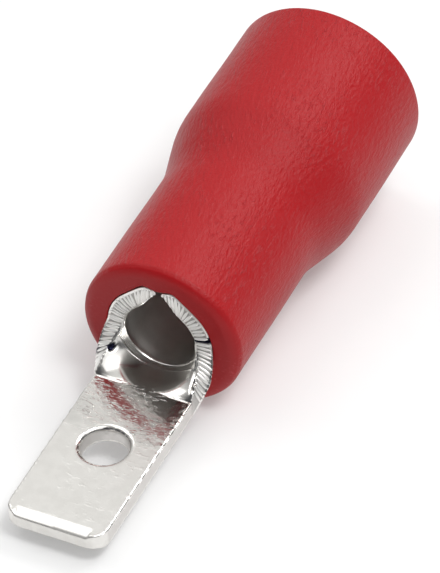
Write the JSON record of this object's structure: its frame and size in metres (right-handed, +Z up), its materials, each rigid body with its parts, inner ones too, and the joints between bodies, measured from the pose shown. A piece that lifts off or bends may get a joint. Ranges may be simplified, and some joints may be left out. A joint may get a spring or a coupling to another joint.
{
  "type": "male spade terminal",
  "caption": "Crimp-on male spade terminal: flat tinned tab with a locking hole, curled neck and seamed wire barrel in a flared red vinyl sleeve.",
  "frame": {"origin": "on the table under the middle of the object's bounding box, as it lies at rest", "axes": "+X runs from the tab's tip towards the wire end, +Y across the tab, +Z up; the barrel's axis rises 3.92 degrees towards the wire end because the sleeve lies on its front edge and on its bell"},
  "size_m": [0.017, 0.0054, 0.0057],
  "materials": {
    "tinned_metal": "satin tin plating over a brass sheet",
    "red_vinyl": "satin, lightly scuffed"
  },
  "bodies": {
    "root": {"blade_terminal": "tinned_metal", "insulating_sleeve": "red_vinyl"}
  },
  "joints": []
}
